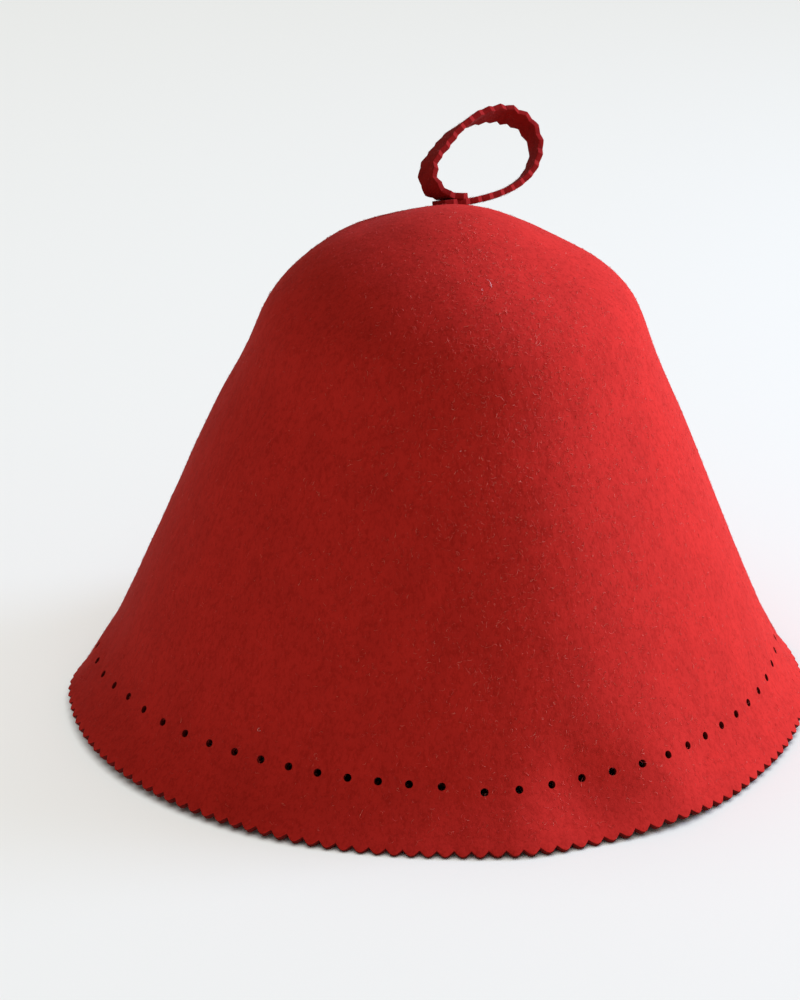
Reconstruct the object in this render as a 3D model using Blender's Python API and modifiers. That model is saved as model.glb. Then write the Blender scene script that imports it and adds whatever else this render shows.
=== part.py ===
"""Red felt sauna hat: a moulded bell of thick wool felt with a punched, pinked brim and a hanging loop.

Metres, +Z up. The hat stands on its rim on Z = 0 with its front facing -Y, and the rim's centre is
the origin. Angles go round the hat from the front, positive towards +X. A place on the wall is its
angle and how far down it lies: 0 at the crown's top, 1 at the tips of the teeth.
"""

import math
from collections import namedtuple

import bmesh
import bpy
from mathutils import Matrix, Vector
from mathutils.geometry import interpolate_bezier

# The bell
RIM_RADIUS = 0.160
CROWN_HEIGHT = 0.2108
FELT = 0.003
CROWN_SHIFT_RIGHT = 0.0045
CROWN_SHIFT_BACK = 0.003

# The rim, which stands on the floor in front and behind and rises at both sides
RIM_LIFT = 0.002
RIM_SPREAD = 0.004
RIM_PRESSED = 0.0005
BRIM_DEPTH = 0.045

# The pinked edge, cut with one pair of shears on rim and loop, but less deep on the loop
TOOTH_PITCH = 0.0067
TOOTH_DEPTH = 0.0024
LOOP_TOOTH_DEPTH = 0.0015
TOOTH_TIP = 0.0014
FIRST_TOOTH = 0.0

# The punched row
HOLE_DIAMETER = 0.0032
HOLE_PITCH = 0.0128
HOLE_ROW = 0.028
ROW_GAP = 0.0165
ROW_END = -0.7

# The hanging loop
LOOP_FELT = 0.0026
LOOP_STRIP = 0.0116
LOOP_WIDTH = 0.062
LOOP_HEIGHT = 0.0465
LOOP_TURN = 37.0
LOOP_LEAN = 20.0
LOOP_SEAT_BACK = 0.0285
SEAT_GAP = 0.0003

# Soft dents and folds
FOLD_DEPTH = 0.006

# How finely the felt is divided
TEETH_PER_COLUMN = 2
CROWN_ROWS = 14
TOP_RING = 0.03
HOLE_SIDES = 8
PUNCH_CLEAR = 0.0075
CURVE_STEPS = 12

# The wall from the crown's top to the rim: shares of CROWN_HEIGHT and RIM_RADIUS
Section = namedtuple("Section", "height reach")
SECTIONS = (
    Section(height=1.000, reach=0.000),
    Section(height=0.996, reach=0.070),
    Section(height=0.963, reach=0.210),
    Section(height=0.911, reach=0.347),
    Section(height=0.827, reach=0.473),
    Section(height=0.700, reach=0.550),
    Section(height=0.550, reach=0.645),
    Section(height=0.400, reach=0.729),
    Section(height=0.270, reach=0.803),
    Section(height=0.160, reach=0.867),
    Section(height=0.070, reach=0.923),
    Section(height=0.000, reach=1.000),
)

# Round the rim at angles in degrees: shares of RIM_LIFT, RIM_SPREAD, HOLE_ROW and HOLE_PITCH
RimPlace = namedtuple("RimPlace", "angle lift spread row pitch")
RIM_PLACES = (
    RimPlace(angle=-180, lift=0.00, spread=-0.40, row=1.00, pitch=1.00),
    RimPlace(angle=-125, lift=0.00, spread=-1.20, row=0.90, pitch=1.00),
    RimPlace(angle=-102, lift=0.30, spread=-1.00, row=0.72, pitch=1.10),
    RimPlace(angle=-82, lift=1.10, spread=0.60, row=0.74, pitch=1.17),
    RimPlace(angle=-60, lift=1.20, spread=0.75, row=0.94, pitch=1.15),
    RimPlace(angle=-30, lift=0.75, spread=0.50, row=1.00, pitch=0.98),
    RimPlace(angle=-10, lift=0.00, spread=0.20, row=0.99, pitch=0.96),
    RimPlace(angle=0, lift=0.00, spread=0.30, row=0.96, pitch=1.05),
    RimPlace(angle=6, lift=0.00, spread=0.58, row=0.88, pitch=1.05),
    RimPlace(angle=11, lift=0.00, spread=0.85, row=0.89, pitch=1.05),
    RimPlace(angle=24, lift=0.00, spread=0.55, row=0.92, pitch=0.97),
    RimPlace(angle=42, lift=0.05, spread=0.55, row=0.94, pitch=0.97),
    RimPlace(angle=58, lift=0.40, spread=0.05, row=0.93, pitch=0.98),
    RimPlace(angle=75, lift=0.60, spread=-0.05, row=0.92, pitch=1.13),
    RimPlace(angle=100, lift=0.40, spread=-0.20, row=0.82, pitch=1.10),
    RimPlace(angle=130, lift=0.00, spread=-0.90, row=0.95, pitch=1.00),
    RimPlace(angle=180, lift=0.00, spread=-0.40, row=1.00, pitch=1.00),
)

# Dents and folds: where they lie, their half widths as shares of RIM_RADIUS, and their height
# over the plain wall as a share of FOLD_DEPTH, below nought where they go in
Fold = namedtuple("Fold", "angle down wide tall height")
FOLDS = (
    Fold(angle=-12, down=0.62, wide=0.40, tall=0.70, height=-0.30),
    Fold(angle=24, down=0.62, wide=0.22, tall=0.80, height=0.45),
    Fold(angle=68, down=0.62, wide=0.35, tall=0.70, height=-0.30),
    Fold(angle=92, down=0.33, wide=0.35, tall=0.20, height=0.10),
    Fold(angle=-92, down=0.36, wide=0.35, tall=0.15, height=-0.15),
    Fold(angle=-52, down=0.29, wide=0.14, tall=0.07, height=-0.20),
    Fold(angle=40, down=0.20, wide=0.12, tall=0.08, height=-0.20),
    Fold(angle=80, down=0.15, wide=0.22, tall=0.10, height=-0.15),
    Fold(angle=-120, down=0.20, wide=0.35, tall=0.12, height=0.20),
    Fold(angle=125, down=0.20, wide=0.20, tall=0.12, height=-0.25),
    Fold(angle=21, down=0.93, wide=0.10, tall=0.13, height=-0.60),
    Fold(angle=36, down=0.93, wide=0.10, tall=0.14, height=0.52),
    Fold(angle=102, down=0.925, wide=0.30, tall=0.07, height=0.28),
    Fold(angle=-97, down=0.93, wide=0.35, tall=0.07, height=0.40),
)

# The near edge of the loop's strip seen square to the ring: shares of LOOP_WIDTH and LOOP_HEIGHT,
# how many layers of strip lie under it, and its twist in degrees from square to the ring
LoopPlace = namedtuple("LoopPlace", "across rise layer twist")
LOOP_PLACES = (
    LoopPlace(across=-0.035, rise=-0.004, layer=0, twist=20),
    LoopPlace(across=0.020, rise=0.000, layer=0, twist=20),
    LoopPlace(across=0.080, rise=0.010, layer=0, twist=18),
    LoopPlace(across=0.300, rise=0.084, layer=0, twist=12),
    LoopPlace(across=0.560, rise=0.224, layer=0, twist=5),
    LoopPlace(across=0.745, rise=0.431, layer=0, twist=-5),
    LoopPlace(across=0.828, rise=0.682, layer=0, twist=-13),
    LoopPlace(across=0.798, rise=0.875, layer=0, twist=-3),
    LoopPlace(across=0.655, rise=0.992, layer=0, twist=13),
    LoopPlace(across=0.403, rise=0.948, layer=0, twist=9),
    LoopPlace(across=0.174, rise=0.762, layer=0, twist=-5),
    LoopPlace(across=0.018, rise=0.572, layer=0, twist=-9),
    LoopPlace(across=-0.128, rise=0.362, layer=0, twist=-6),
    LoopPlace(across=-0.154, rise=0.215, layer=0.2, twist=0),
    LoopPlace(across=-0.125, rise=0.074, layer=0.9, twist=10),
    LoopPlace(across=-0.066, rise=0.010, layer=1, twist=17),
    LoopPlace(across=0.000, rise=0.000, layer=1, twist=20),
    LoopPlace(across=0.085, rise=0.007, layer=1, twist=20),
)


class Line:
    """A smooth line through a few places, which can be read at any share of its length."""

    def __init__(self, places):
        places = [Vector(p).to_3d() for p in places]
        chords = [(b - a).length for a, b in zip(places, places[1:])]
        slopes = [(b - a) / c for a, b, c in zip(places, places[1:], chords)]
        turns = [
            (s * d + t * c) / (c + d)
            for s, t, c, d in zip(slopes, slopes[1:], chords, chords[1:])
        ]
        turns = [2 * slopes[0] - turns[0], *turns, 2 * slopes[-1] - turns[-1]]
        self.points = [places[0]]
        for i, chord in enumerate(chords):
            out = places[i] + turns[i] * chord / 3
            back = places[i + 1] - turns[i + 1] * chord / 3
            span = interpolate_bezier(places[i], out, back, places[i + 1], CURVE_STEPS + 1)
            self.points += span[1:]
        self.marks = [0.0]
        for a, b in zip(self.points, self.points[1:]):
            self.marks.append(self.marks[-1] + (b - a).length)
        self.length = self.marks[-1]

    def find(self, share):
        """The point before that share of the length, and how far on from it the share lies."""
        want = share * self.length
        i = 1
        while i < len(self.marks) - 1 and self.marks[i] < want:
            i += 1
        return i - 1, (want - self.marks[i - 1]) / (self.marks[i] - self.marks[i - 1])

    def at(self, share):
        """The point at that share of the length. A share outside 0 to 1 goes straight on."""
        i, part = self.find(share)
        return self.points[i].lerp(self.points[i + 1], part)

    def place(self, share):
        """Which of the places lies before that share of the length, and how far on it is."""
        i, part = self.find(share)
        return i // CURVE_STEPS, (i % CURVE_STEPS + part) / CURVE_STEPS


WALL = Line([(s.reach * RIM_RADIUS, s.height * CROWN_HEIGHT) for s in SECTIONS])


def ease(share):
    """0 to 1 with a soft start and end."""
    share = min(1.0, max(0.0, share))
    return share * share * (3 - 2 * share)


def up_from_tips(distance):
    """How far down a place lies that is this distance above the teeth's tips, along the felt."""
    return 1 - distance / WALL.length


def rim_place(angle):
    """At an angle, the rim's lift and spread and the punched row's height and pitch, in metres."""
    degrees = (math.degrees(angle) + 180) % 360 - 180
    i = 1
    while RIM_PLACES[i].angle < degrees:
        i += 1
    a, b = RIM_PLACES[i - 1], RIM_PLACES[i]
    part = ease((degrees - a.angle) / (b.angle - a.angle))
    lift, spread, row, pitch = (u + (v - u) * part for u, v in zip(a[1:], b[1:]))
    return lift * RIM_LIFT, spread * RIM_SPREAD, row * HOLE_ROW, pitch * HOLE_PITCH


def fold_height(angle, down, reach):
    """How far all folds together push the wall out here."""
    total = 0.0
    for fold in FOLDS:
        turn = (angle - math.radians(fold.angle) + math.pi) % (2 * math.pi) - math.pi
        across = turn * reach / (fold.wide * RIM_RADIUS)
        along = (down - fold.down) * WALL.length / (fold.tall * RIM_RADIUS)
        total += fold.height * FOLD_DEPTH * math.exp(-across * across - along * along)
    return total


def rest_height():
    """Where the teeth's outer edge stands, so that the floor presses only their inner edge."""
    end = WALL.at(1.0) - WALL.at(up_from_tips(TOOTH_DEPTH))
    return FELT * end.x / end.length - RIM_PRESSED


def felt_point(angle, down):
    """A point on the felt's outer face."""
    place = WALL.at(down)
    step = WALL.at(down + 0.01) - WALL.at(down - 0.01)
    out = fold_height(angle, down, place.x)
    reach = place.x - out * step.y / step.length
    height = place.y + out * step.x / step.length
    lift, spread, _, _ = rim_place(angle)
    brim = ease(1 - (1 - down) * WALL.length / BRIM_DEPTH)
    reach += spread * brim
    height += lift * brim + rest_height()
    lean = place.y / CROWN_HEIGHT
    return Vector((
        reach * math.sin(angle) + CROWN_SHIFT_RIGHT * lean,
        -reach * math.cos(angle) + CROWN_SHIFT_BACK * lean,
        height,
    ))


def felt_normal(angle, down):
    """The outward direction of the felt."""
    round_the_hat = felt_point(angle + 0.02, down) - felt_point(angle - 0.02, down)
    down_the_wall = felt_point(angle, down + 0.01) - felt_point(angle, down - 0.01)
    return down_the_wall.cross(round_the_hat).normalized()


def collection(name):
    """A new collection in the scene."""
    made = bpy.data.collections.new(name)
    bpy.context.scene.collection.children.link(made)
    return made


def mesh_object(name, bm, where):
    """An object made from a bmesh, smooth apart from its cut edges."""
    bmesh.ops.recalc_face_normals(bm, faces=bm.faces)
    mesh = bpy.data.meshes.new(name)
    bm.to_mesh(mesh)
    bm.free()
    mesh.shade_smooth()
    mesh.set_sharp_from_angle(angle=math.radians(40))
    made = bpy.data.objects.new(name, mesh)
    where.objects.link(made)
    return made


def felt_material(name, colour):
    """Milled wool felt: a dull dyed fibre surface."""
    made = bpy.data.materials.new(name)
    made.use_nodes = True
    shader = made.node_tree.nodes["Principled BSDF"]
    shader.inputs["Base Color"].default_value = (*colour, 1.0)
    shader.inputs["Roughness"].default_value = 0.95
    shader.inputs["Metallic"].default_value = 0.0
    made.diffuse_color = (*colour, 1.0)
    return made


def cut(body, cutter):
    """Takes the cutter's shape out of the body."""
    cutter.hide_render = True
    cutter.display_type = "WIRE"
    boolean = body.modifiers.new(cutter.name, "BOOLEAN")
    boolean.operation = "DIFFERENCE"
    boolean.solver = "EXACT"
    boolean.object = cutter


def thicken(body, thickness, offset):
    """Gives an open sheet its thickness."""
    solidify = body.modifiers.new("felt", "SOLIDIFY")
    solidify.thickness = thickness
    solidify.offset = offset
    solidify.use_even_offset = True
    solidify.use_quality_normals = True


def tooth_count():
    """Teeth round the rim, a whole number for each column of the wall."""
    round_the_rim = 2 * math.pi * RIM_RADIUS
    return TEETH_PER_COLUMN * round(round_the_rim / TOOTH_PITCH / TEETH_PER_COLUMN)


def wall_rows():
    """How far down the rings of the wall lie: even in the crown, and clear of the punched row."""
    over_holes = up_from_tips(HOLE_ROW + PUNCH_CLEAR)
    under_holes = up_from_tips(HOLE_ROW - PUNCH_CLEAR)
    rows = [TOP_RING + (over_holes - TOP_RING) * i / CROWN_ROWS for i in range(CROWN_ROWS + 1)]
    return rows + [under_holes, (under_holes + up_from_tips(TOOTH_DEPTH)) / 2]


def tooth_angle(number):
    """The angle of a tooth's middle, counted from the first one."""
    return math.radians(FIRST_TOOTH) + 2 * math.pi * number / tooth_count()


def ring(bm, down, count):
    """A closed ring of points round the wall, in line with gaps between teeth."""
    step = tooth_count() // count
    return [bm.verts.new(felt_point(tooth_angle(i * step - 0.5), down)) for i in range(count)]


def join_rings(bm, upper, lower):
    """Faces between two rings, where the lower one may have several points to each upper one."""
    share = len(lower) // len(upper)
    for i, corner in enumerate(upper):
        edge = [lower[(i * share + k) % len(lower)] for k in range(share + 1)]
        bm.faces.new([corner, *edge, upper[(i + 1) % len(upper)]])


def add_teeth(bm, roots):
    """One tooth with a narrow flat tip between each pair of root points."""
    half_tip = TOOTH_TIP / TOOTH_PITCH / 2
    for i, root in enumerate(roots):
        tip = [felt_point(tooth_angle(i + side * half_tip), 1.0) for side in (-1, 1)]
        bm.faces.new([root, *map(bm.verts.new, tip), roots[(i + 1) % len(roots)]])


def felt_bell(where):
    """The hat's body: the outer face as one open sheet with its pinked edge, thickened inwards."""
    bm = bmesh.new()
    teeth = tooth_count()
    columns = teeth // TEETH_PER_COLUMN
    rings = [ring(bm, down, columns) for down in wall_rows()]
    top = bm.verts.new(felt_point(0.0, 0.0))
    for i, corner in enumerate(rings[0]):
        bm.faces.new([top, corner, rings[0][(i + 1) % columns]])
    for upper, lower in zip(rings, rings[1:]):
        join_rings(bm, upper, lower)
    roots = ring(bm, up_from_tips(TOOTH_DEPTH), teeth)
    join_rings(bm, rings[-1], roots)
    add_teeth(bm, roots)
    body = mesh_object("hat_body", bm, where)
    thicken(body, FELT, -1)
    return body


def hole_places():
    """Angle and place down the wall of each hole, in a row that closes with one wider gap."""
    reach = WALL.at(up_from_tips(HOLE_ROW)).x
    last = math.radians(ROW_END) + 2 * math.pi
    first = math.radians(ROW_END) + ROW_GAP / reach
    angles = [first]
    while angles[-1] < last - HOLE_PITCH / reach / 2:
        angles.append(angles[-1] + rim_place(angles[-1])[3] / reach)
    stretch = (last - first) / (angles[-1] - first)
    angles = [first + (angle - first) * stretch for angle in angles]
    return [(angle, up_from_tips(rim_place(angle)[2])) for angle in angles]


def hole_punches(where):
    """One round punch square to the felt at each hole."""
    bm = bmesh.new()
    for angle, down in hole_places():
        turn = felt_normal(angle, down).to_track_quat("Z", "Y").to_matrix().to_4x4()
        bmesh.ops.create_cone(
            bm,
            cap_ends=True,
            segments=HOLE_SIDES,
            radius1=HOLE_DIAMETER / 2,
            radius2=HOLE_DIAMETER / 2,
            depth=6 * FELT,
            matrix=Matrix.Translation(felt_point(angle, down)) @ turn,
        )
    return mesh_object("hole_punches", bm, where)


def floor_cut(where):
    """What the floor presses flat: all felt below Z = 0."""
    bm = bmesh.new()
    side = 3 * RIM_RADIUS
    deep = 4 * FELT
    place = Matrix.Translation((0, 0, -deep / 2)) @ Matrix.Diagonal((side, side, deep, 1))
    bmesh.ops.create_cube(bm, size=1, matrix=place)
    return mesh_object("floor_cut", bm, where)


def loop_seat():
    """Where the loop sits: the middle of its strip, and the directions along, across and off it."""
    down = LOOP_SEAT_BACK / WALL.length
    off = felt_normal(math.pi, down)
    heading = math.radians(LOOP_TURN)
    along = Vector((math.cos(heading), math.sin(heading), 0))
    along = (along - off * along.dot(off)).normalized()
    across = off.cross(along)
    middle = felt_point(math.pi, down) + off * (SEAT_GAP + LOOP_FELT / 2)
    return middle, along, across, off


def loop_line(along, up, off):
    """The near edge of the strip, from its end on the crown round to its end on top of that."""
    return Line([
        along * p.across * LOOP_WIDTH
        + up * p.rise * LOOP_HEIGHT
        + off * p.layer * (LOOP_FELT + SEAT_GAP)
        for p in LOOP_PLACES
    ])


def loop_twist(line, share):
    """How far the strip is twisted at a share of the line."""
    i, part = line.place(share)
    a, b = LOOP_PLACES[i].twist, LOOP_PLACES[i + 1].twist
    return math.radians(a + (b - a) * part)


def hanging_loop(where):
    """A strip pinked along both edges, bent into a ring with one end lying on the other."""
    middle, along, across, off = loop_seat()
    start = middle - across * LOOP_STRIP / 2
    lean_back = Matrix.Rotation(-math.radians(LOOP_LEAN), 3, along)
    line = loop_line(along, lean_back @ off, off)
    square = lean_back @ across
    teeth = round(line.length / TOOTH_PITCH)
    bm = bmesh.new()
    rows = []
    for i in range(2 * teeth + 1):
        share = i / (2 * teeth)
        tangent = (line.at(share + 0.01) - line.at(share - 0.01)).normalized()
        wide = (square - tangent * square.dot(tangent)).normalized()
        wide = Matrix.Rotation(loop_twist(line, share), 3, tangent) @ wide
        edge = start + line.at(share)
        notch = LOOP_TOOTH_DEPTH * (i % 2)
        rows.append([
            bm.verts.new(edge + wide * w) for w in (notch, LOOP_STRIP / 2, LOOP_STRIP - notch)
        ])
    for a, b in zip(rows, rows[1:]):
        for k in range(len(a) - 1):
            bm.faces.new([a[k], b[k], b[k + 1], a[k + 1]])
    strip = mesh_object("hanging_loop", bm, where)
    thicken(strip, LOOP_FELT, 0)
    return strip


for old in list(bpy.data.objects):
    bpy.data.objects.remove(old)

hat = collection("sauna_hat")
cutters = collection("cutters")
red = felt_material("red_felt", (0.42, 0.02, 0.02))
dark_red = felt_material("loop_felt", (0.34, 0.015, 0.015))

bell = felt_bell(hat)
bell.data.materials.append(red)
cut(bell, hole_punches(cutters))
cut(bell, floor_cut(cutters))

loop = hanging_loop(hat)
loop.data.materials.append(dark_red)
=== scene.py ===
"""The look of a red felt sauna hat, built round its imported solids.

Metres, +Z up, with the hat's front facing -Y. Angles go round the hat from the front, positive
towards +X. A place on the wall is its angle and how far down it lies: 0 at the crown's top, 1 at
the tips of the teeth.
"""

import math
from collections import namedtuple

import bpy
import numpy as np
from mathutils import Matrix, Vector, noise


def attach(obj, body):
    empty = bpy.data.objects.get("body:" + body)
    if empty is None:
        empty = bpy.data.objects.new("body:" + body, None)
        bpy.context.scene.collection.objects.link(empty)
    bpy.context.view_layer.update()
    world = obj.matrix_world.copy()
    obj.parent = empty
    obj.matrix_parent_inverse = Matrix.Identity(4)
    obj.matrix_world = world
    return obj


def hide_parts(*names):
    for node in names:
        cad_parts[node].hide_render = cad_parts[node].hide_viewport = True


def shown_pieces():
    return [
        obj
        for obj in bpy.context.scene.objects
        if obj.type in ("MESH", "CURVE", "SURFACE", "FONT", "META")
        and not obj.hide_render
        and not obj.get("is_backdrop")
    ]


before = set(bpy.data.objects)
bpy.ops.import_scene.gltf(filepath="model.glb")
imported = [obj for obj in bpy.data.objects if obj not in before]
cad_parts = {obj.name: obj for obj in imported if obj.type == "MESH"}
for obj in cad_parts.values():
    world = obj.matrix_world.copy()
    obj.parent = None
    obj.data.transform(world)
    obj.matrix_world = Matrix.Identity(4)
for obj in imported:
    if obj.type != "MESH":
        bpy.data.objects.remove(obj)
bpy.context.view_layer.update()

# ------------------------------------------------------------------------------------------------
# The bell: one piece of milled wool felt, moulded wet over a block, so that crown, wall and brim
# are one skin without a seam. The rim is cut with pinking shears and a row of round holes is
# punched through the brim. It stands on its rim, pressed flat where it meets the floor.
# ------------------------------------------------------------------------------------------------

RIM_RADIUS = 0.160
CROWN_HEIGHT = 0.2108
FELT = 0.003
# The crown's top lies this far right of the rim's middle, and this far behind it
CROWN_SHIFT = (0.0045, 0.003)
RIM_LIFT = 0.002
RIM_SPREAD = 0.004
RIM_PRESSED = 0.0005
BRIM_DEPTH = 0.045
FOLD_DEPTH = 0.006

TEETH = 150
TOOTH_DEPTH = 0.0024
CUT_ROUNDING = 0.00045

# The row of holes: how far above the teeth's tips it lies, along the felt, and the angle in degrees
# where it closes with one wider gap
HOLE_DIAMETER = 0.0032
HOLE_PITCH = 0.0128
HOLE_ROW = 0.028
ROW_GAP = 0.0165
ROW_END = -0.7

# The wall from the crown's top to the rim: shares of CROWN_HEIGHT and RIM_RADIUS
Section = namedtuple("Section", "height reach")
SECTIONS = (
    Section(height=1.000, reach=0.000),
    Section(height=0.996, reach=0.070),
    Section(height=0.963, reach=0.210),
    Section(height=0.911, reach=0.347),
    Section(height=0.827, reach=0.473),
    Section(height=0.700, reach=0.550),
    Section(height=0.550, reach=0.645),
    Section(height=0.400, reach=0.729),
    Section(height=0.270, reach=0.803),
    Section(height=0.160, reach=0.867),
    Section(height=0.070, reach=0.923),
    Section(height=0.000, reach=1.000),
)

# Round the rim at angles in degrees: shares of RIM_LIFT, RIM_SPREAD, HOLE_ROW and HOLE_PITCH
RimPlace = namedtuple("RimPlace", "angle lift spread row pitch")
RIM_PLACES = (
    RimPlace(angle=-180, lift=0.00, spread=-0.40, row=1.00, pitch=1.00),
    RimPlace(angle=-125, lift=0.00, spread=-1.20, row=0.90, pitch=1.00),
    RimPlace(angle=-102, lift=0.30, spread=-1.00, row=0.72, pitch=1.10),
    RimPlace(angle=-82, lift=1.10, spread=0.60, row=0.74, pitch=1.17),
    RimPlace(angle=-60, lift=1.20, spread=0.75, row=0.94, pitch=1.15),
    RimPlace(angle=-30, lift=0.75, spread=0.50, row=1.00, pitch=0.98),
    RimPlace(angle=-10, lift=0.00, spread=0.20, row=0.99, pitch=0.96),
    RimPlace(angle=0, lift=0.00, spread=0.30, row=0.96, pitch=1.05),
    RimPlace(angle=6, lift=0.00, spread=0.58, row=0.88, pitch=1.05),
    RimPlace(angle=11, lift=0.00, spread=0.85, row=0.89, pitch=1.05),
    RimPlace(angle=24, lift=0.00, spread=0.55, row=0.92, pitch=0.97),
    RimPlace(angle=42, lift=0.05, spread=0.55, row=0.94, pitch=0.97),
    RimPlace(angle=58, lift=0.40, spread=0.05, row=0.93, pitch=0.98),
    RimPlace(angle=75, lift=0.60, spread=-0.05, row=0.92, pitch=1.13),
    RimPlace(angle=100, lift=0.40, spread=-0.20, row=0.82, pitch=1.10),
    RimPlace(angle=130, lift=0.00, spread=-0.90, row=0.95, pitch=1.00),
    RimPlace(angle=180, lift=0.00, spread=-0.40, row=1.00, pitch=1.00),
)

# Dents and folds: where they lie, their half widths as shares of RIM_RADIUS, and their height
# over the plain wall as a share of FOLD_DEPTH, below nought where they go in
Fold = namedtuple("Fold", "angle down wide tall height")
FOLDS = (
    Fold(angle=-12, down=0.62, wide=0.40, tall=0.70, height=-0.30),
    Fold(angle=24, down=0.62, wide=0.22, tall=0.80, height=0.45),
    Fold(angle=68, down=0.62, wide=0.35, tall=0.70, height=-0.30),
    Fold(angle=92, down=0.33, wide=0.35, tall=0.20, height=0.10),
    Fold(angle=-92, down=0.36, wide=0.35, tall=0.15, height=-0.15),
    Fold(angle=-52, down=0.29, wide=0.14, tall=0.07, height=-0.20),
    Fold(angle=40, down=0.20, wide=0.12, tall=0.08, height=-0.20),
    Fold(angle=80, down=0.15, wide=0.22, tall=0.10, height=-0.15),
    Fold(angle=-120, down=0.20, wide=0.35, tall=0.12, height=0.20),
    Fold(angle=125, down=0.20, wide=0.20, tall=0.12, height=-0.25),
    Fold(angle=21, down=0.93, wide=0.10, tall=0.13, height=-0.60),
    Fold(angle=36, down=0.93, wide=0.10, tall=0.14, height=0.52),
    Fold(angle=102, down=0.925, wide=0.30, tall=0.07, height=0.28),
    Fold(angle=-97, down=0.93, wide=0.35, tall=0.07, height=0.40),
)

# One tooth of the pinked edge: places across it as shares of its width, and its depth there
TOOTH_PHASE = (-0.5, -0.2, 0.0, 0.2)
TOOTH_SHAPE = (0.0, 0.80, 1.0, 0.80)

# Milled felt is never quite even: lumps of this size and height stay after the block. They start
# this far above the teeth's tips and have their full height this share of the wall further up.
Lump = namedtuple("Lump", "size height")
LUMPS = (Lump(size=0.016, height=0.00020), Lump(size=0.007, height=0.00008))
LUMPS_START = 0.004
LUMPS_GROW = 0.03

LINE_STEPS = 24
# A direction on the felt is read between two places, each this share of the length away, or this
# angle in radians round the hat
NEAR = 0.01
NEAR_ANGLE = 0.02


class SmoothLine:
    """A smooth line through a few places, which can be read at any share of its length."""

    def __init__(self, places):
        places = np.array(places, float)
        step = np.diff(places, axis=0)
        chord = np.linalg.norm(step, axis=1)[:, None]
        slope = step / chord
        turn = (slope[:-1] * chord[1:] + slope[1:] * chord[:-1]) / (chord[:-1] + chord[1:])
        turn = np.vstack([2 * slope[:1] - turn[:1], turn, 2 * slope[-1:] - turn[-1:]])
        t = np.linspace(0, 1, LINE_STEPS + 1)[1:, None]
        spans = [places[:1]]
        for i, reach in enumerate(chord / 3):
            a, d = places[i], places[i + 1]
            b, c = a + turn[i] * reach, d - turn[i + 1] * reach
            spans.append(
                (1 - t) ** 3 * a + 3 * (1 - t) ** 2 * t * b + 3 * (1 - t) * t**2 * c + t**3 * d
            )
        self.points = np.vstack(spans)
        gone = np.linalg.norm(np.diff(self.points, axis=0), axis=1)
        self.marks = np.concatenate([[0.0], np.cumsum(gone)])
        self.length = self.marks[-1]

    def find(self, share):
        """The point before that share of the length, and how far on from it the share lies."""
        want = np.asarray(share, float) * self.length
        i = np.clip(np.searchsorted(self.marks, want) - 1, 0, len(self.marks) - 2)
        return i, (want - self.marks[i]) / (self.marks[i + 1] - self.marks[i])

    def at(self, share):
        """The point at that share of the length. A share outside 0 to 1 goes straight on."""
        i, part = self.find(share)
        return self.points[i] + (self.points[i + 1] - self.points[i]) * part[..., None]


WALL = SmoothLine([(s.reach * RIM_RADIUS, s.height * CROWN_HEIGHT) for s in SECTIONS])


def ease(share):
    """0 to 1 with a soft start and end."""
    share = np.clip(share, 0, 1)
    return share * share * (3 - 2 * share)


def up_from_tips(distance):
    """How far down a place lies that is this distance above the teeth's tips, along the felt."""
    return 1 - distance / WALL.length


def rim_place(angle):
    """At an angle, the rim's lift and spread and the punched row's height and pitch, in metres."""
    degrees = (np.degrees(angle) + 180) % 360 - 180
    table = np.array(RIM_PLACES)
    i = np.clip(np.searchsorted(table[:, 0], degrees), 1, len(table) - 1)
    part = ease((degrees - table[i - 1, 0]) / (table[i, 0] - table[i - 1, 0]))
    row = table[i - 1] + (table[i] - table[i - 1]) * part[..., None]
    return row[..., 1:] * (RIM_LIFT, RIM_SPREAD, HOLE_ROW, HOLE_PITCH)


def fold_height(angle, down, reach):
    """How far all folds together push the wall out."""
    total = 0.0
    for fold in FOLDS:
        turn = (angle - math.radians(fold.angle) + math.pi) % (2 * math.pi) - math.pi
        across = turn * reach / (fold.wide * RIM_RADIUS)
        along = (down - fold.down) * WALL.length / (fold.tall * RIM_RADIUS)
        total = total + fold.height * FOLD_DEPTH * np.exp(-across * across - along * along)
    return total


def felt_point(angle, down):
    """Points on the felt's outer face."""
    angle, down = np.broadcast_arrays(np.asarray(angle, float), np.asarray(down, float))
    place = WALL.at(down)
    step = WALL.at(down + NEAR) - WALL.at(down - NEAR)
    step /= np.linalg.norm(step, axis=-1, keepdims=True)
    out = fold_height(angle, down, place[..., 0])
    rim = rim_place(angle)
    brim = ease(1 - (1 - down) * WALL.length / BRIM_DEPTH)
    reach = place[..., 0] - out * step[..., 1] + rim[..., 1] * brim
    # The felt's inner face is what rests on the floor, so that the outer one is lifted off it
    end = WALL.at(1.0) - WALL.at(up_from_tips(TOOTH_DEPTH))
    rest = FELT * end[0] / np.linalg.norm(end) - RIM_PRESSED
    height = place[..., 1] + out * step[..., 0] + rim[..., 0] * brim + rest
    lean = place[..., 1] / CROWN_HEIGHT
    return np.stack([
        reach * np.sin(angle) + CROWN_SHIFT[0] * lean,
        -reach * np.cos(angle) + CROWN_SHIFT[1] * lean,
        height,
    ], axis=-1)


def felt_normal(angle, down):
    """The outward direction of the felt."""
    round_the_hat = felt_point(angle + NEAR_ANGLE, down) - felt_point(angle - NEAR_ANGLE, down)
    down_the_wall = felt_point(angle, down + NEAR) - felt_point(angle, down - NEAR)
    normal = np.cross(down_the_wall, round_the_hat)
    return normal / np.linalg.norm(normal, axis=-1, keepdims=True)


def felt_at(angle, down, depth):
    """Points at a depth under the felt's outer face, none of them lower than the floor."""
    points = felt_point(angle, down) - felt_normal(angle, down) * np.asarray(depth)[..., None]
    points[..., 2] = np.maximum(points[..., 2], 0)
    return points


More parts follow.
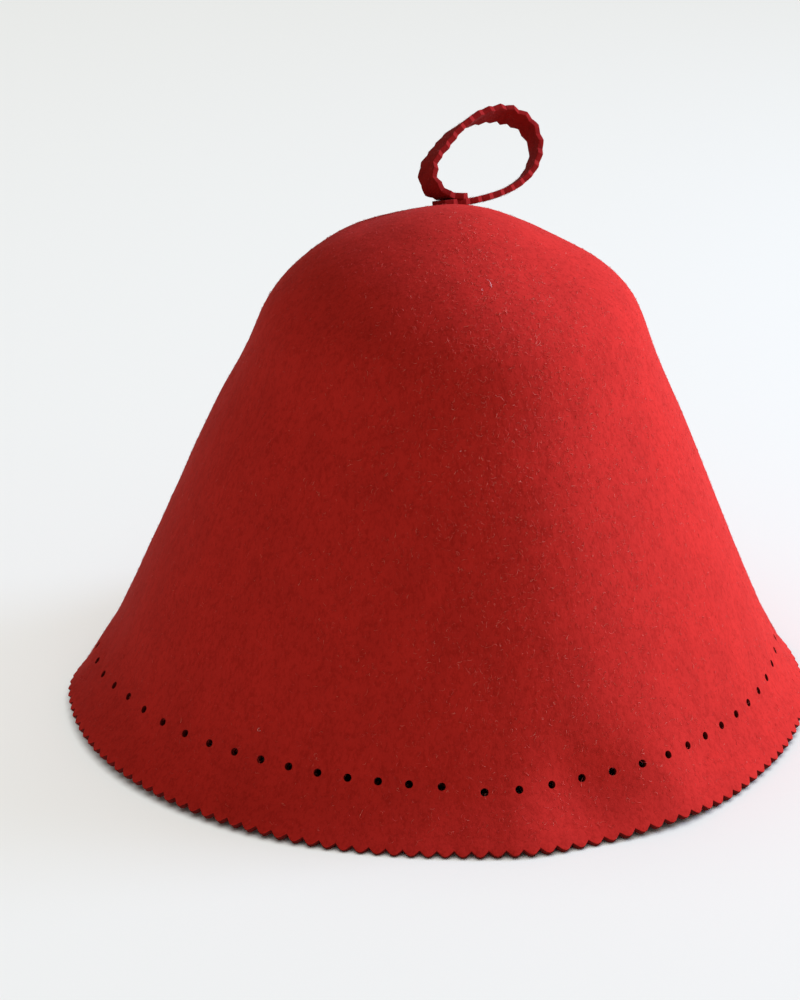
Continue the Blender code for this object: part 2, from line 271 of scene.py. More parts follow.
def tooth_columns():
    """The angle of each column of the wall, four to a tooth, and how far down its edge is cut."""
    tooth = 2 * math.pi / TEETH
    angle = (np.arange(TEETH)[:, None] + TOOTH_PHASE).ravel() * tooth
    cut = np.tile(1 - np.array(TOOTH_SHAPE), TEETH) * TOOTH_DEPTH
    return angle, cut


def cut_edge(angle, cut):
    """Rows of points round the pinked edge, from the outer face to the inner one."""
    along = angle * RIM_RADIUS
    step = np.stack([np.roll(along, -1) - along, cut - np.roll(cut, -1)], axis=-1)
    step[:, 0] %= 2 * math.pi * RIM_RADIUS
    into = np.stack([step[:, 1], -step[:, 0]], axis=-1)
    into /= np.linalg.norm(into, axis=-1, keepdims=True)
    before = np.roll(into, 1, axis=0)
    mitre = (before + into) / (1 + (before * into).sum(axis=-1, keepdims=True))
    turn = np.radians([0, 22.5, 45, 67.5, 90])
    inset = CUT_ROUNDING * (1 - np.sin(turn))
    depth = CUT_ROUNDING * (1 - np.cos(turn))
    rows = [*zip(inset, depth), (0, FELT / 2), *zip(inset[::-1], FELT - depth[::-1])]
    down = up_from_tips(cut)
    return [
        felt_at(
            angle + mitre[:, 0] * q / RIM_RADIUS,
            down + mitre[:, 1] * q / WALL.length,
            np.full_like(angle, d),
        )
        for q, d in rows
    ]


def lumpy(points, normals, down):
    """Moves points a little along their normals, but not those near the pinked edge."""
    share = ease((up_from_tips(LUMPS_START) - down) / LUMPS_GROW)
    for size, height in LUMPS:
        push = [noise.noise(Vector(p) / size) for p in points.reshape(-1, 3)]
        points = points + normals * (np.reshape(push, share.shape) * share * height)[..., None]
    return points


# Degrees: the felt is smooth across an edge that turns less than this
CUT_EDGE = 40


def mesh_object(name, points, faces, sharp=CUT_EDGE):
    """An object made from points and faces, smooth apart from its cut edges."""
    mesh = bpy.data.meshes.new(name)
    mesh.from_pydata(points, [], faces)
    mesh.validate()
    mesh.shade_smooth()
    mesh.set_sharp_from_angle(angle=math.radians(sharp))
    made = bpy.data.objects.new(name, mesh)
    bpy.context.scene.collection.objects.link(made)
    return made


def rings_to_faces(rows, columns):
    """Faces between rows of points that each go once round, numbered row by row."""
    i, j = np.meshgrid(np.arange(rows - 1), np.arange(columns), indexing="ij")
    k = (j + 1) % columns
    quads = np.stack([i * columns + j, (i + 1) * columns + j, (i + 1) * columns + k,
                      i * columns + k], axis=-1)
    return quads.reshape(-1, 4).tolist()


# The rows of the bell's mesh: its first row on the outer face and its last on the inner one, as
# shares of the wall, then how far above the teeth's tips the punched band starts and ends, where
# the rows are closer together, and where the cut edge starts
OUTER_TOP = 0.012
INNER_TOP = 0.02
BAND_START = 0.034
BAND_END = 0.021
EDGE_START = 0.0046
WALL_ROWS = 68
BAND_ROWS = 11
EDGE_ROWS = 8
INNER_ROWS = 26


def bell_mesh():
    """The bell's whole skin: down its outer face, round the cut edge and up its inner face."""
    angle, cut = tooth_columns()
    band_start, band_end, edge_start = map(up_from_tips, (BAND_START, BAND_END, EDGE_START))
    outer = np.concatenate([
        np.linspace(OUTER_TOP, band_start, WALL_ROWS, endpoint=False),
        np.linspace(band_start, band_end, BAND_ROWS, endpoint=False),
        np.linspace(band_end, edge_start, EDGE_ROWS),
    ])
    inner = np.linspace(edge_start, INNER_TOP, INNER_ROWS)
    grid, row = np.meshgrid(angle, outer)
    face = lumpy(felt_at(grid, row, np.zeros_like(row)), felt_normal(grid, row), row)
    grid, row = np.meshgrid(angle, inner)
    lining = felt_at(grid, row, np.full_like(row, FELT))
    rings = np.concatenate([face, cut_edge(angle, cut), lining])
    top = felt_point(0.0, 0.0)
    points = np.vstack([rings.reshape(-1, 3), top, top - (0, 0, FELT)])
    count, columns = rings.shape[:2]
    faces = rings_to_faces(count, columns)
    last = (count - 1) * columns
    for j in range(columns):
        k = (j + 1) % columns
        faces.append((len(points) - 2, j, k))
        faces.append((len(points) - 1, last + k, last + j))
    return mesh_object("felt_bell", points, faces)


def hole_places():
    """Angle and place down the wall of each hole, in a row that closes with one wider gap."""
    reach = WALL.at(up_from_tips(HOLE_ROW))[0]
    last = math.radians(ROW_END) + 2 * math.pi
    first = math.radians(ROW_END) + ROW_GAP / reach
    angles = [first]
    while angles[-1] < last - HOLE_PITCH / reach / 2:
        angles.append(angles[-1] + rim_place(angles[-1])[3] / reach)
    angles = first + (np.array(angles) - first) * (last - first) / (angles[-1] - first)
    return angles, up_from_tips(rim_place(angles)[:, 2])


# A punch has this many sides, rounds the felt's edge by this much, and reaches this far past it
PUNCH_SIDES = 24
PUNCH_ROUNDING = 0.0001
PUNCH_CLEAR = 0.002


def hole_punches():
    """One punch square to the felt at each hole, flared so that it leaves a soft edge."""
    turn = np.radians([0, 30, 60, 90])
    wide = HOLE_DIAMETER / 2 + PUNCH_ROUNDING * (1 - np.sin(turn))
    deep = PUNCH_ROUNDING * (1 - np.cos(turn))
    reach = np.concatenate([wide[:1], wide, wide[::-1], wide[:1]])
    depth = np.concatenate([[-PUNCH_CLEAR], deep, FELT - deep[::-1], [FELT + PUNCH_CLEAR]])
    spin = np.arange(PUNCH_SIDES) * 2 * math.pi / PUNCH_SIDES
    points, faces = [], []
    for angle, down in zip(*hole_places()):
        off = felt_normal(angle, down)
        frame_of_hole = np.array(Vector(off).to_track_quat("Z", "Y").to_matrix())
        rings = np.stack([
            np.outer(reach, np.cos(spin)),
            np.outer(reach, np.sin(spin)),
            np.repeat(-depth[:, None], PUNCH_SIDES, axis=1),
        ], axis=-1) @ frame_of_hole.T + felt_point(angle, down)
        start = len(points)
        points += rings.reshape(-1, 3).tolist()
        faces += [[start + n for n in face] for face in rings_to_faces(len(reach), PUNCH_SIDES)]
        faces.append([start + n for n in range(PUNCH_SIDES)])
        faces.append([len(points) - 1 - n for n in range(PUNCH_SIDES)])
    return mesh_object("hole_punches", points, faces)


def cut_out(body, cutter):
    """Takes the cutter's shape out of the body and throws the cutter away."""
    boolean = body.modifiers.new("punch", "BOOLEAN")
    boolean.operation = "DIFFERENCE"
    boolean.solver = "MANIFOLD"
    boolean.object = cutter
    shaped = body.evaluated_get(bpy.context.evaluated_depsgraph_get())
    mesh = bpy.data.meshes.new_from_object(shaped)
    body.modifiers.clear()
    body.data = mesh
    bpy.data.objects.remove(cutter)
    mesh.materials.clear()
    mesh.shade_smooth()
    mesh.set_sharp_from_angle(angle=math.radians(CUT_EDGE))


# A face is a cut one where its direction has less than this in common with the felt's
CUT_FACE = 0.6


def cut_faces(body):
    """Which faces the shears and the punch made: those that stand square to the felt."""
    sides = body.data.polygons
    centre, normal = np.empty((len(sides), 3)), np.empty((len(sides), 3))
    sides.foreach_get("center", centre.ravel())
    sides.foreach_get("normal", normal.ravel())
    angle = np.arctan2(centre[:, 0], -centre[:, 1])
    down = np.interp(-centre[:, 2], -WALL.points[:, 1], WALL.marks / WALL.length)
    square = np.abs((normal * felt_normal(angle, down)).sum(axis=1)) < CUT_FACE
    return square & (centre[:, 2] < BRIM_DEPTH)


def linear(code):
    """An sRGB colour such as #C81E1E as linear red, green, blue and full cover."""
    parts = [int(code[i:i + 2], 16) / 255 for i in (1, 3, 5)]
    return (*(p / 12.92 if p <= 0.04045 else ((p + 0.055) / 1.055) ** 2.4 for p in parts), 1.0)


def add_node(tree, kind, settings=(), links=()):
    """Adds a node: settings are properties or inputs by name or number, links are inputs."""
    made = tree.nodes.new(kind)
    for name, value in dict(settings).items():
        if isinstance(name, str) and name not in made.inputs:
            setattr(made, name, value)
        else:
            made.inputs[name].default_value = value
    for name, source in dict(links).items():
        tree.links.new(source, made.inputs[name])
    return made


def milled_felt(name, deep, plain, raised, fuzz):
    """Milled wool felt: dyed through and quite dull, with fibres matted in every direction.

    The eye sees a soft grain about as coarse as the fibre tangles, lighter where fibres stand up
    and darker in the small pits between them, a slow mottle from the milling, and a pinkish bloom
    of loose fibre ends where the face turns away.
    """
    made = bpy.data.materials.new(name)
    made.use_nodes = True
    tree = made.node_tree
    shader = tree.nodes["Principled BSDF"]
    shader.inputs["Roughness"].default_value = 0.92
    shader.inputs["Specular IOR Level"].default_value = 0.08
    shader.inputs["Sheen Weight"].default_value = fuzz
    shader.inputs["Sheen Roughness"].default_value = 0.45
    shader.inputs["Sheen Tint"].default_value = linear("#FF9A92")
    place = add_node(tree, "ShaderNodeTexCoord").outputs["Object"]
    # The felt was drawn down over the block, so that its tangles are twice as tall as wide
    place = add_node(
        tree, "ShaderNodeMapping", {"Scale": (1.0, 1.0, 0.5)}, {"Vector": place},
    ).outputs["Vector"]

    def cloud(millimetres, detail, roughness=0.55, bent=0.0, kind="FBM"):
        return add_node(
            tree, "ShaderNodeTexNoise",
            {"noise_type": kind, "normalize": True, "Scale": 1000 / millimetres,
             "Detail": detail, "Roughness": roughness, "Distortion": bent},
            {"Vector": place},
        ).outputs["Fac"]

    def spread(value, low, high, bottom=0.0, top=1.0):
        return add_node(
            tree, "ShaderNodeMapRange",
            {"From Min": low, "From Max": high, "To Min": bottom, "To Max": top},
            {"Value": value},
        ).outputs["Result"]

    # Wool fibres are about 0.03 mm thick and their tangles about 0.5 mm wide. The tangles are
    # drawn twice as wide, because narrower ones don't show at this size.
    tangles = cloud(1.1, 3, 0.62, 0.6)
    pits = cloud(2.6, 2, 0.5, 0.3)
    curls = cloud(1.7, 2, 0.5, 1.4, "RIDGED_MULTIFRACTAL")
    mottle = cloud(14.0, 3, 0.55)

    grain = add_node(
        tree, "ShaderNodeMath", {"operation": "ADD"},
        {0: spread(tangles, 0.34, 0.66, 0.0, 0.62), 1: spread(pits, 0.36, 0.64, 0.0, 0.38)},
    ).outputs[0]
    shade = add_node(
        tree, "ShaderNodeMix", {"data_type": "RGBA", 6: linear(deep), 7: linear(plain)},
        {0: spread(grain, 0.12, 0.62)},
    ).outputs[2]
    strands = add_node(
        tree, "ShaderNodeMath", {"operation": "MULTIPLY"},
        {0: spread(curls, 0.62, 0.95), 1: spread(tangles, 0.45, 0.62, 0.0, 0.55)},
    ).outputs[0]
    shade = add_node(
        tree, "ShaderNodeMix", {"data_type": "RGBA", 7: linear(raised)},
        {0: strands, 6: shade},
    ).outputs[2]
    shade = add_node(
        tree, "ShaderNodeHueSaturation", {},
        {"Value": spread(mottle, 0.35, 0.65, 0.95, 1.05), "Color": shade},
    ).outputs["Color"]
    tree.links.new(shade, shader.inputs["Base Color"])

    # Heights in metres: the matted grain, the small pits and the strands that lie on top
    lumps = cloud(6.0, 2, 0.5)
    bump = None
    for height, deep_by in ((lumps, 0.00018), (pits, 0.00012), (tangles, 0.00007),
                            (curls, 0.00003)):
        links = {"Height": height}
        if bump:
            links["Normal"] = bump
        bump = add_node(
            tree, "ShaderNodeBump", {"Strength": 1.0, "Distance": deep_by}, links,
        ).outputs["Normal"]
    tree.links.new(bump, shader.inputs["Normal"])
    return made


bell = bell_mesh()
cut_out(bell, hole_punches())
bell.data.materials.append(
    milled_felt("milled_red_wool_felt", "#AE1F17", "#BF261E", "#E46C64", 0.03),
)
# Where it is cut, the felt is coloured much darker than its face: partly its dense core, with no
# raised fibre to catch the light, and partly painted shade for the notches, the holes and the
# underside of the lifted rim
bell.data.materials.append(
    milled_felt("cut_felt_painted_shade", "#5A100D", "#6A1411", "#7E2A25", 0.0),
)
bell.data.polygons.foreach_set("material_index", cut_faces(bell).astype(np.int32))
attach(bell, "root")
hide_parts("hat_body")

# ------------------------------------------------------------------------------------------------
# The hanging loop: a strip of darker felt 11.6 mm wide, cut with the same pinking shears along
# both edges. It is bent into an upright ring with one end lying on the other, and the two are
# stitched down just behind the crown's top.
# ------------------------------------------------------------------------------------------------

LOOP_FELT = 0.0026
LOOP_STRIP = 0.0116
LOOP_TOOTH_DEPTH = 0.0015
LOOP_WIDTH = 0.062
LOOP_HEIGHT = 0.0465
# Degrees: how far the ring is turned from facing the front, and how far it leans back
LOOP_TURN = 37.0
LOOP_LEAN = 20.0
# How far behind the crown's top it is stitched
LOOP_SEAT_BACK = 0.0285
# Stitched down, the felt is pressed together a little where it lies on itself
LOOP_PRESSED = 0.0002
STRIP_TOOTH = 0.0067
STATIONS_PER_TOOTH = 8
STRIP_ROUNDING = 0.0003
# Degrees: each flank of a tooth is one straight cut, flat enough to catch the light by itself
LOOP_SHARP = 16

# The near edge of the strip seen square to the ring: shares of LOOP_WIDTH and LOOP_HEIGHT, how
# many layers of strip lie under it, and its twist in degrees from square to the ring
LoopPlace = namedtuple("LoopPlace", "across rise layer twist")
LOOP_PLACES = (
    LoopPlace(across=-0.110, rise=-0.026, layer=0, twist=20),
    LoopPlace(across=0.020, rise=0.000, layer=0, twist=20),
    LoopPlace(across=0.080, rise=0.010, layer=0, twist=18),
    LoopPlace(across=0.300, rise=0.084, layer=0, twist=12),
    LoopPlace(across=0.560, rise=0.224, layer=0, twist=5),
    LoopPlace(across=0.745, rise=0.431, layer=0, twist=-5),
    LoopPlace(across=0.828, rise=0.682, layer=0, twist=-13),
    LoopPlace(across=0.798, rise=0.875, layer=0, twist=-3),
    LoopPlace(across=0.655, rise=0.992, layer=0, twist=13),
    LoopPlace(across=0.403, rise=0.948, layer=0, twist=9),
    LoopPlace(across=0.174, rise=0.762, layer=0, twist=-5),
    LoopPlace(across=0.018, rise=0.572, layer=0, twist=-9),
    LoopPlace(across=-0.128, rise=0.362, layer=0, twist=-6),
    LoopPlace(across=-0.154, rise=0.215, layer=0.2, twist=0),
    LoopPlace(across=-0.125, rise=0.074, layer=0.9, twist=10),
    LoopPlace(across=-0.066, rise=0.010, layer=1, twist=17),
    LoopPlace(across=0.000, rise=0.000, layer=1, twist=20),
    LoopPlace(across=0.085, rise=0.007, layer=1, twist=20),
)


def loop_frame():
    """Where the strip's near edge starts, and the directions along, up, off and square to it."""
    down = LOOP_SEAT_BACK / WALL.length
    off = Vector(felt_normal(math.pi, down))
    heading = math.radians(LOOP_TURN)
    along = Vector((math.cos(heading), math.sin(heading), 0))
    along = (along - off * along.dot(off)).normalized()
    across = off.cross(along)
    middle = Vector(felt_point(math.pi, down)) + off * LOOP_FELT / 2
    lean_back = Matrix.Rotation(-math.radians(LOOP_LEAN), 3, along)
    return middle - across * LOOP_STRIP / 2, along, lean_back @ off, off, lean_back @ across


def strip_line():
    """The strip's near edge as a smooth line, and the direction that is square to the ring."""
    start, along, up, off, square = loop_frame()
    line = SmoothLine([
        start + along * p.across * LOOP_WIDTH + up * p.rise * LOOP_HEIGHT
        + off * p.layer * (LOOP_FELT - LOOP_PRESSED)
        for p in LOOP_PLACES
    ])
    return line, np.array(square)


def strip_frames(share):
    """At shares of the strip's length: its near edge, and its directions across and off it."""
    line, square = strip_line()
    tangent = line.at(share + NEAR) - line.at(share - NEAR)
    tangent /= np.linalg.norm(tangent, axis=-1, keepdims=True)
    wide = square - tangent * (tangent @ square)[:, None]
    wide /= np.linalg.norm(wide, axis=-1, keepdims=True)
    i, part = line.find(share)
    twists = np.array([p.twist for p in LOOP_PLACES])
    place = (i % LINE_STEPS + part) / LINE_STEPS
    twist = np.radians(twists[i // LINE_STEPS] * (1 - place) + twists[i // LINE_STEPS + 1] * place)
    side = np.cross(tangent, wide)
    wide, side = (
        wide * np.cos(twist)[:, None] + side * np.sin(twist)[:, None],
        side * np.cos(twist)[:, None] - wide * np.sin(twist)[:, None],
    )
    return line.at(share), wide, side


def strip_mesh():
    """The strip as a tube of flat sections, narrower at each notch."""
    teeth = round(strip_line()[0].length / STRIP_TOOTH)
    stations = teeth * STATIONS_PER_TOOTH + 1
    share = np.linspace(0, 1, stations)
    edge, wide, side = strip_frames(share)
    notch = LOOP_TOOTH_DEPTH * np.abs(2 * ((share * teeth) % 1) - 1)
    turn = np.radians([0, 30, 60, 90])
    inset = STRIP_ROUNDING * (1 - np.sin(turn))
    depth = LOOP_FELT / 2 - STRIP_ROUNDING * (1 - np.cos(turn))
    half = [*zip(inset, depth), (0, 0), *zip(inset[::-1], -depth[::-1])]
    section = [(notch + q, d) for q, d in half]
    middles = [0.25, 0.5, 0.75]
    low = [(notch + (LOOP_STRIP - 2 * notch) * m, -LOOP_FELT / 2) for m in middles]
    far = [(LOOP_STRIP - notch - q, d) for q, d in half[::-1]]
    high = [(notch + (LOOP_STRIP - 2 * notch) * (1 - m), LOOP_FELT / 2) for m in middles]
    section += low + far + high
    points = np.stack([edge + wide * w[:, None] + side * h for w, h in section], axis=1)
    columns = len(section)
    faces = rings_to_faces(stations, columns)
    faces.append(list(range(columns)))
    faces.append([stations * columns - 1 - n for n in range(columns)])
    return mesh_object("felt_loop", points.reshape(-1, 3), faces, sharp=LOOP_SHARP)


loop = strip_mesh()
dark_felt = milled_felt("milled_dark_red_wool_felt", "#7C110E", "#8B1511", "#A8332E", 0.02)
loop.data.materials.append(dark_felt)
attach(loop, "root")
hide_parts("hanging_loop")
strip_line()[0].length

# ------------------------------------------------------------------------------------------------
# Loose wool on the felt: curly fibres that lie on its face, short ones that stand off it, and a
# few pale hairs that were caught in it. They are single wool fibres, rooted in the felt.
# ------------------------------------------------------------------------------------------------

LOOSE_SEED = 7
# A wool fibre is about 0.03 mm thick, too thin to show at this size, so those that stand off are
# drawn twice as thick, those that lie on the felt three times, and the pale hairs four times
STANDING_THICK = 0.00006
LYING_THICK = 0.0001
HAIR_THICK = 0.00013
# At its tip a fibre is this share of that thickness
FIBRE_TIP = 0.6

chance = np.random.default_rng(LOOSE_SEED)


def fibres(name, paths, beside, thick):
    """Many fibres as one mesh: three-sided tubes along the paths, which narrow to a point."""
    along = np.gradient(paths, axis=1)
    side = np.cross(along, beside[:, None])
    side /= np.linalg.norm(side, axis=-1, keepdims=True)
    over = np.cross(side, along)
    over /= np.linalg.norm(over, axis=-1, keepdims=True)
    count, steps = paths.shape[:2]
    radius = thick / 2 * np.linspace(1, FIBRE_TIP, steps - 1)[None, :, None]
    rings = [
        paths[:, :-1] + radius * (side * math.cos(a) + over * math.sin(a))[:, :-1]
        for a in (0, 2 * math.pi / 3, 4 * math.pi / 3)
    ]
    rings = np.stack(rings, axis=2).reshape(count, -1, 3)
    points = np.concatenate([rings, paths[:, -1:]], axis=1)
    one = rings_to_faces(steps - 1, 3)
    tip, last = 3 * (steps - 1), 3 * (steps - 2)
    one += [[last + k, tip, last + (k + 1) % 3] for k in range(3)] + [[0, 1, 2]]
    faces = [[n + i * (tip + 1) for n in face] for i in range(count) for face in one]
    made = mesh_object(name, points.reshape(-1, 3), faces)
    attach(made, "root")
    return made


# Fibres are rooted between these shares of the wall, and those that lie stay between the second
# pair. More places are drawn than are wanted, because fewer are kept where the bell is narrow.
ROOTS_FROM, ROOTS_TO = 0.01, 0.982
LIES_FROM, LIES_TO = 0.002, 0.985
PLACES_DRAWN = 4


def places_on_bell(count):
    """Places scattered evenly over the bell's outer face, each an angle and how far down it is."""
    drawn = PLACES_DRAWN * count
    angle = chance.uniform(-math.pi, math.pi, drawn)
    down = chance.uniform(ROOTS_FROM, ROOTS_TO, drawn)
    kept = chance.random(drawn) < WALL.at(down)[:, 0] / RIM_RADIUS
    return angle[kept][:count], down[kept][:count]


# How unevenly a fibre curls, the part of a half wave that its rise off the felt follows, and the
# smallest distance from the crown's top at which it is bent round the hat
CURL_SPREAD = 0.7
ARCH = (0.06, 0.95)
SMALLEST_REACH = 0.004


def lying_paths(angle, down, length, bend, lift, steps):
    """Curly paths over the bell's face, which rise off it a little in the middle."""
    count = len(angle)
    way = chance.choice([-1.0, 1.0], count)[:, None]
    turn = np.cumsum(chance.normal(way, CURL_SPREAD, (count, steps)) * bend[:, None], axis=1)
    heading = chance.uniform(0, 2 * math.pi, count)[:, None] + turn
    step = (length / (steps - 1))[:, None]
    across = np.cumsum(np.cos(heading) * step, axis=1)
    along = np.cumsum(np.sin(heading) * step, axis=1)
    reach = np.maximum(WALL.at(down)[:, 0], SMALLEST_REACH)[:, None]
    angles = angle[:, None] + across / reach
    downs = np.clip(down[:, None] + along / WALL.length, LIES_FROM, LIES_TO)
    normals = felt_normal(angles, downs)
    face = lumpy(felt_point(angles, downs), normals, downs)
    rise = np.sin(np.linspace(*ARCH, steps) * math.pi) * lift[:, None]
    return face + normals * rise[..., None], normals[:, 0]


# How much a standing fibre bends: the spread of its bend to either side, and its largest bend over.
# Its root lies this deep in the felt.
SIDEWAYS = 0.6
BENDS_OVER = 0.8
ROOT_DEPTH = 0.00005


def standing_paths(roots, normals, length, lean):
    """Short bent paths that leave a face at a slant."""
    count = len(roots)
    loose = chance.normal(0, 1, (count, 3))
    slant = loose - normals * (loose * normals).sum(axis=1, keepdims=True)
    slant /= np.linalg.norm(slant, axis=1, keepdims=True)
    first = normals * np.cos(lean)[:, None] + slant * np.sin(lean)[:, None]
    then = first + np.cross(normals, slant) * chance.normal(0, SIDEWAYS, count)[:, None]
    then += slant * chance.uniform(0, BENDS_OVER, count)[:, None]
    half = (length / 2)[:, None]
    start = roots - normals * ROOT_DEPTH
    paths = np.stack([start, start + first * half, start + (first + then) * half], axis=1)
    return paths, np.cross(normals, slant)


def wool_fibre(name, low, high):
    """A single dyed wool fibre: slightly clear, so it looks paler and pinker than the felt."""
    made = bpy.data.materials.new(name)
    made.use_nodes = True
    tree = made.node_tree
    shader = tree.nodes["Principled BSDF"]
    shader.inputs["Roughness"].default_value = 0.7
    shader.inputs["Specular IOR Level"].default_value = 0.1
    place = add_node(tree, "ShaderNodeTexCoord").outputs["Object"]
    # Fibres 2 mm apart may come from different parts of the dye bath
    lot = add_node(
        tree, "ShaderNodeTexNoise", {"Scale": 1000 / 2.0, "Detail": 1.0}, {"Vector": place},
    ).outputs["Fac"]
    lot = add_node(
        tree, "ShaderNodeMapRange", {"From Min": 0.46, "From Max": 0.72}, {"Value": lot},
    ).outputs["Result"]
    tint = add_node(
        tree, "ShaderNodeMix", {"data_type": "RGBA", 6: linear(low), 7: linear(high)}, {0: lot},
    ).outputs[2]
    tree.links.new(tint, shader.inputs["Base Color"])
    return made


# Lying fibres: the shortest one, and how much longer the others are, in a skewed spread
LYING_COUNT = 7000
LYING_SHORTEST = 0.0005
LYING_SHAPE, LYING_LONGER = 3.0, 0.0004
LYING_BEND = (0.1, 0.75)
LYING_LIFT = (0.0001, 0.0004)
LYING_STEPS = 6


def lie_on_bell(name, angle, down, wool):
    """Curly fibres, mostly 1 to 3 mm long, that lie on the bell at the places given."""
    count = len(angle)
    paths, normals = lying_paths(
        angle, down,
        length=chance.gamma(LYING_SHAPE, LYING_LONGER, count) + LYING_SHORTEST,
        bend=chance.uniform(*LYING_BEND, count),
        lift=chance.uniform(*LYING_LIFT, count),
        steps=LYING_STEPS,
    )
    made = fibres(name, paths, normals, LYING_THICK)
    made.data.materials.append(wool)


red_wool = wool_fibre("dyed_wool_fibre", "#C4302A", "#DE6259")
lie_on_bell("lying_wool", *places_on_bell(LYING_COUNT), red_wool)

# More fibres lie on the crown's front and the wall under it, where the light grazes the felt, and
# they are paler than the rest: a painted highlight where the raking light catches raised fibre.
# How many of evenly scattered places are kept: degrees round from the front, and down the wall
PALE_BAND_ANGLE = 20
PALE_BAND_WIDE = 24
PALE_BAND_DOWN = 0.55
PALE_BAND_FROM = 52000

angle, down = places_on_bell(PALE_BAND_FROM)
pale_band_weight = np.exp(-((np.degrees(angle) - PALE_BAND_ANGLE) / PALE_BAND_WIDE) ** 2 / 2)
pale_band_weight *= np.exp(-((down / PALE_BAND_DOWN) ** 2) / 2)
kept = chance.random(PALE_BAND_FROM) < pale_band_weight
# Painted highlight: these fibres are coloured paler than the others on the bell
pale_band_wool_painted_highlight = wool_fibre("pale_band_fibre_painted_highlight", "#CC4638", "#F0937E")
lie_on_bell("pale_band_wool_painted_highlight", angle[kept], down[kept], pale_band_wool_painted_highlight)

# Standing fibres: how long they are and how many degrees they lean
STANDING_COUNT = 16000
STANDING_LENGTH = (0.0003, 0.0010)
STANDING_LEAN = (20, 75)

angle, down = places_on_bell(STANDING_COUNT)
normals = felt_normal(angle, down)
paths, beside = standing_paths(
    lumpy(felt_point(angle, down), normals, down), normals,
    length=chance.uniform(*STANDING_LENGTH, len(angle)),
    lean=np.radians(chance.uniform(*STANDING_LEAN, len(angle))),
)
standing = fibres("standing_wool", paths, beside, STANDING_THICK)
standing.data.materials.append(red_wool)

# On the loop, fibres stand off both faces of the strip. Where: shares of its length and width.
LOOP_WOOL_COUNT = 2400
LOOP_WOOL_LENGTH = (0.0004, 0.0012)
LOOP_WOOL_ALONG = (0.01, 0.99)
LOOP_WOOL_ACROSS = (0.06, 0.94)

share = chance.uniform(*LOOP_WOOL_ALONG, LOOP_WOOL_COUNT)
edge, wide, side = strip_frames(share)
over = chance.choice([-1.0, 1.0], LOOP_WOOL_COUNT)
across = chance.uniform(*LOOP_WOOL_ACROSS, LOOP_WOOL_COUNT)
roots = edge + wide * (across * LOOP_STRIP)[:, None] + side * (over * LOOP_FELT / 2)[:, None]
paths, beside = standing_paths(
    roots, side * over[:, None],
    length=chance.uniform(*LOOP_WOOL_LENGTH, LOOP_WOOL_COUNT),
    lean=np.radians(chance.uniform(*STANDING_LEAN, LOOP_WOOL_COUNT)),
)
loop_wool = fibres("loop_wool", paths, beside, STANDING_THICK)
loop_wool.data.materials.append(wool_fibre("dark_dyed_wool_fibre", "#A82420", "#D0625C"))

# Pale hairs caught in the felt: angle, place down the wall, length in mm and how curly they are
Hair = namedtuple("Hair", "angle down length curl")
HAIRS = (
    Hair(angle=16, down=0.200, length=4.5, curl=0.05),
    Hair(angle=12, down=0.204, length=2.4, curl=0.35),
    Hair(angle=2, down=0.442, length=1.6, curl=0.70),
    Hair(angle=-32, down=0.86, length=3.0, curl=0.40),
)
HAIR_LIFT = 0.0006
HAIR_STEPS = 14

hairs = Hair(*np.array(HAIRS).T)
paths, normals = lying_paths(
    np.radians(hairs.angle), hairs.down, length=hairs.length / 1000, bend=hairs.curl,
    lift=np.full(len(HAIRS), HAIR_LIFT), steps=HAIR_STEPS,
)
pale_hairs = fibres("pale_hairs", paths, normals, HAIR_THICK)
pale_hairs.data.materials.append(wool_fibre("undyed_wool_fibre", "#D9B4B0", "#F0DCDA"))

# ------------------------------------------------------------------------------------------------
# The floor, lights and camera: a sweep of pale paper, one large soft light behind the hat's right
# shoulder, a broad light over the paper that keeps it pale, and the camera 1.2 m away, looking 22
# degrees down.
# ------------------------------------------------------------------------------------------------

scene = bpy.context.scene
scene.view_settings.view_transform = "Standard"

FLOOR_SIDE = 40.0
half_floor = FLOOR_SIDE / 2
floor = mesh_object(
    "floor",
    [(x * half_floor, y * half_floor, 0) for x, y in ((-1, -1), (1, -1), (1, 1), (-1, 1))],
    [(0, 1, 2, 3)],
)
# Uncoated background paper: quite matt, so that the eye sees one pale tone without any gloss
paper = bpy.data.materials.new("pale_paper")
paper.use_nodes = True
paper_shader = paper.node_tree.nodes["Principled BSDF"]
paper_shader.inputs["Base Color"].default_value = linear("#E5E8E7")
paper_shader.inputs["Roughness"].default_value = 1.0
paper_shader.inputs["Specular IOR Level"].default_value = 0.0
floor.data.materials.append(paper)
floor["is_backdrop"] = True

# The white room round the set fills the shadows
world = bpy.data.worlds.new("studio")
world.use_nodes = True
room = world.node_tree.nodes["Background"]
room.inputs["Color"].default_value = linear("#FFF7ED")
room.inputs["Strength"].default_value = 0.353
scene.world = world

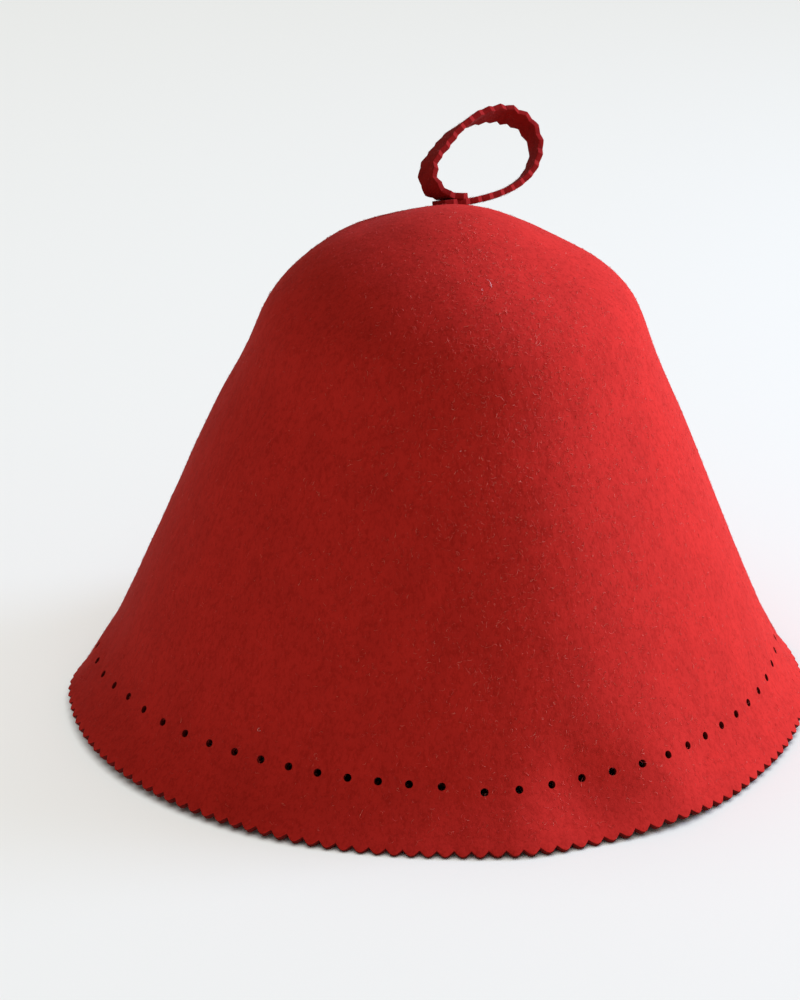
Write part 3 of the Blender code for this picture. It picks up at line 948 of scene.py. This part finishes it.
AIM = Vector((0.0, 0.0, 0.1))

# Lights over the set: the way round from the front and up in degrees, how far off and how wide in
# metres, and how bright a white card square to it gets
Lamp = namedtuple("Lamp", "name turn rise away side white colour")
DAYLIGHT = linear("#C8D9FF")[:3]
KEY = Lamp("key_softbox", turn=105, rise=32, away=1.6, side=0.6, white=2.29, colour=DAYLIGHT)
KEY_ON_PAPER = KEY._replace(name="key_softbox_on_paper", white=0.38)
TOP_ON_PAPER = Lamp("top_softbox_on_paper", turn=0, rise=90, away=6.0, side=8.0, white=1.09,
                    colour=linear("#FFFFFF")[:3])


def hang_lamp(lamp, lights):
    """A square soft light that shines only on the objects given."""
    turn, rise = math.radians(lamp.turn), math.radians(lamp.rise)
    towards = Vector((
        math.sin(turn) * math.cos(rise), -math.cos(turn) * math.cos(rise), math.sin(rise),
    ))
    softbox = bpy.data.lights.new(lamp.name, "AREA")
    softbox.shape = "SQUARE"
    softbox.size = lamp.side
    softbox.color = lamp.colour
    softbox.energy = lamp.white * (math.pi * lamp.away) ** 2
    made = bpy.data.objects.new(lamp.name, softbox)
    made.location = AIM + towards * lamp.away
    made.rotation_euler = towards.to_track_quat("Z", "Y").to_euler()
    made.visible_camera = False
    lit = bpy.data.collections.new(lamp.name + "_lights")
    for thing in lights:
        lit.objects.link(thing)
    made.light_linking.receiver_collection = lit
    scene.collection.objects.link(made)


hang_lamp(KEY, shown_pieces())
hang_lamp(KEY_ON_PAPER, [floor])
hang_lamp(TOP_ON_PAPER, [floor])

CAMERA_AWAY = 1.2
CAMERA_DOWN = 22.0
LOOKS_AT = (-0.0175, 0.0, 0.085)
lens = bpy.data.cameras.new("camera")
lens.sensor_width = 36.0
lens.lens = 100.98
eye = bpy.data.objects.new("camera", lens)
tip = math.radians(CAMERA_DOWN)
eye.location = Vector(LOOKS_AT) + CAMERA_AWAY * Vector((0, -math.cos(tip), math.sin(tip)))
eye.rotation_euler = (math.radians(90) - tip, 0, 0)
scene.collection.objects.link(eye)
scene.camera = eye
